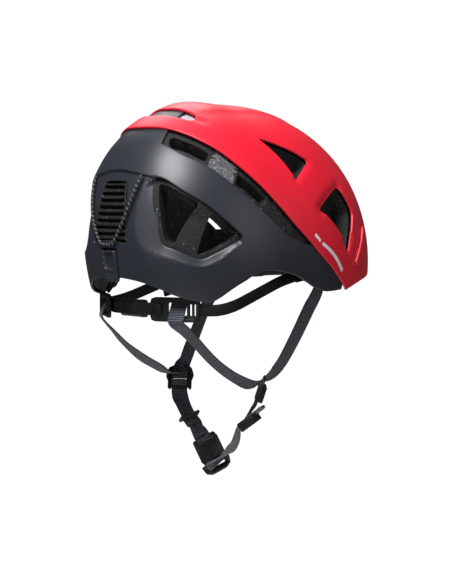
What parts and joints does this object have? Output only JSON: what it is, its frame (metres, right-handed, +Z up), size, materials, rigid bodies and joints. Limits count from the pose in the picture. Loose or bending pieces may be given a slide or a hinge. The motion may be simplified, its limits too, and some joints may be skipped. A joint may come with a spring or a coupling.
{
  "type": "climbing helmet",
  "caption": "Climbing helmet with a two-piece vented hard shell, foam liner, adjustable headband, rear lamp hook, Y-shaped webbing and a buckled chin strap.",
  "frame": {"origin": "centre of the dome inside the head cavity, on the middle plane, about where the middle of the wearer's head sits", "axes": "+Z up to the crown, -Y forwards to the brim, +X to the wearer's left"},
  "size_m": [0.1992, 0.2839, 0.3387],
  "materials": {
    "red_shell": "satin moulded",
    "grey_shell": "satin moulded",
    "foam": "expanded bead foam",
    "crown_foam": "expanded bead foam",
    "webbing": "woven, cross ribs",
    "black_plastic": "fine moulded texture",
    "padding": "brushed knit over soft foam",
    "elastic": "covered elastic"
  },
  "bodies": {
    "helmet": {"upper_shell": "red_shell", "lower_shell": "grey_shell", "foam_liner": "foam", "crown_puck": "crown_foam", "elastic_cord": "elastic", "brow_pad": "padding", "crown_pad": "padding", "left_front_strap": "webbing", "right_front_strap": "webbing", "left_rear_strap": "webbing", "right_rear_strap": "webbing", "left_chin_strap": "webbing", "right_chin_strap": "webbing", "right_strap_link": "webbing", "left_adjuster_housing": "black_plastic", "right_adjuster_housing": "black_plastic", "left_side_arm": "black_plastic", "right_side_arm": "black_plastic", "front_headband": "black_plastic", "left_hanger": "black_plastic", "right_hanger": "black_plastic", "left_divider": "black_plastic", "right_divider": "black_plastic", "left_front_strap_anchor": "black_plastic", "right_front_strap_anchor": "black_plastic", "buckle_socket": "black_plastic"},
    "rear_hook": {"rear_hook": "grey_shell"},
    "left_lamp_clip": {"left_lamp_clip": "red_shell"},
    "right_lamp_clip": {"right_lamp_clip": "red_shell"},
    "rear_band": {"rear_band": "black_plastic", "nape_pad": "padding"},
    "left_release_button": {"left_release_button": "black_plastic"},
    "right_release_button": {"right_release_button": "black_plastic"},
    "left_divider_cam": {"left_divider_cam": "black_plastic"},
    "right_divider_cam": {"right_divider_cam": "black_plastic"},
    "buckle_tongue": {"buckle_tongue": "black_plastic"},
    "front_prong": {"front_prong": "black_plastic"},
    "rear_prong": {"rear_prong": "black_plastic"},
    "strap_adjuster": {"strap_adjuster": "black_plastic", "strap_tail": "webbing"},
    "strap_keeper": {"strap_keeper": "elastic"}
  },
  "joints": [
    {"name": "rear_hook_pull", "type": "hinge", "parent": "helmet", "child": "rear_hook", "pos_m": [0, 0.12268, 0.00104], "axis": [1, 0, 0], "range_deg": [0, 35], "stiffness_Nm_per_rad": 0.05},
    {"name": "left_lamp_clip_flex", "type": "hinge", "parent": "helmet", "child": "left_lamp_clip", "pos_m": [0.08744, -0.09167, -0.01572], "axis": [0.3164, 0.782, 0.537], "range_deg": [0, 8], "stiffness_Nm_per_rad": 0.2},
    {"name": "right_lamp_clip_flex", "type": "hinge", "parent": "helmet", "child": "right_lamp_clip", "pos_m": [-0.08744, -0.09167, -0.01572], "axis": [0.3164, -0.782, -0.537], "range_deg": [0, 8], "stiffness_Nm_per_rad": 0.2},
    {"name": "headband_fit", "type": "slide", "parent": "helmet", "child": "rear_band", "axis": [0, -1, 0], "range_m": [0, 0.006]},
    {"name": "left_release_press", "type": "slide", "parent": "helmet", "child": "left_release_button", "axis": [-0.4711, -0.8821, 0], "range_m": [0, 0.0012], "stiffness_N_per_m": 600},
    {"name": "right_release_press", "type": "slide", "parent": "helmet", "child": "right_release_button", "axis": [0.4711, -0.8821, 0], "range_m": [0, 0.0012], "stiffness_N_per_m": 600},
    {"name": "left_cam_open", "type": "hinge", "parent": "helmet", "child": "left_divider_cam", "pos_m": [0.0563, -0.00277, -0.12722], "axis": [-0.7578, -0.6525, 0], "range_deg": [0, 60]},
    {"name": "right_cam_open", "type": "hinge", "parent": "helmet", "child": "right_divider_cam", "pos_m": [-0.0563, -0.00327, -0.12772], "axis": [-0.7578, 0.6525, 0], "range_deg": [0, 60]},
    {"name": "buckle_release", "type": "slide", "parent": "helmet", "child": "buckle_tongue", "axis": [-0.6598, 0.05, -0.7498], "range_m": [0, 0.018], "deforming": ["right_chin_strap"]},
    {"name": "front_prong_squeeze", "type": "slide", "parent": "buckle_tongue", "child": "front_prong", "axis": [0.619, 0.6019, -0.5046], "range_m": [0, 0.0012], "stiffness_N_per_m": 900},
    {"name": "rear_prong_squeeze", "type": "slide", "parent": "buckle_tongue", "child": "rear_prong", "axis": [-0.619, -0.6019, 0.5046], "range_m": [0, 0.0012], "stiffness_N_per_m": 900},
    {"name": "adjuster_tilt", "type": "hinge", "parent": "helmet", "child": "strap_adjuster", "pos_m": [-0.0498, 0.0045, -0.1531], "axis": [-0.5548, 0.8306, -0.0474], "range_deg": [0, 11], "deforming": ["right_strap_link", "right_chin_strap"]},
    {"name": "strap_keeper_slide", "type": "slide", "parent": "helmet", "child": "strap_keeper", "axis": [-0.6417, -0.116, -0.7581], "range_m": [-0.003, 0.004]}
  ]
}
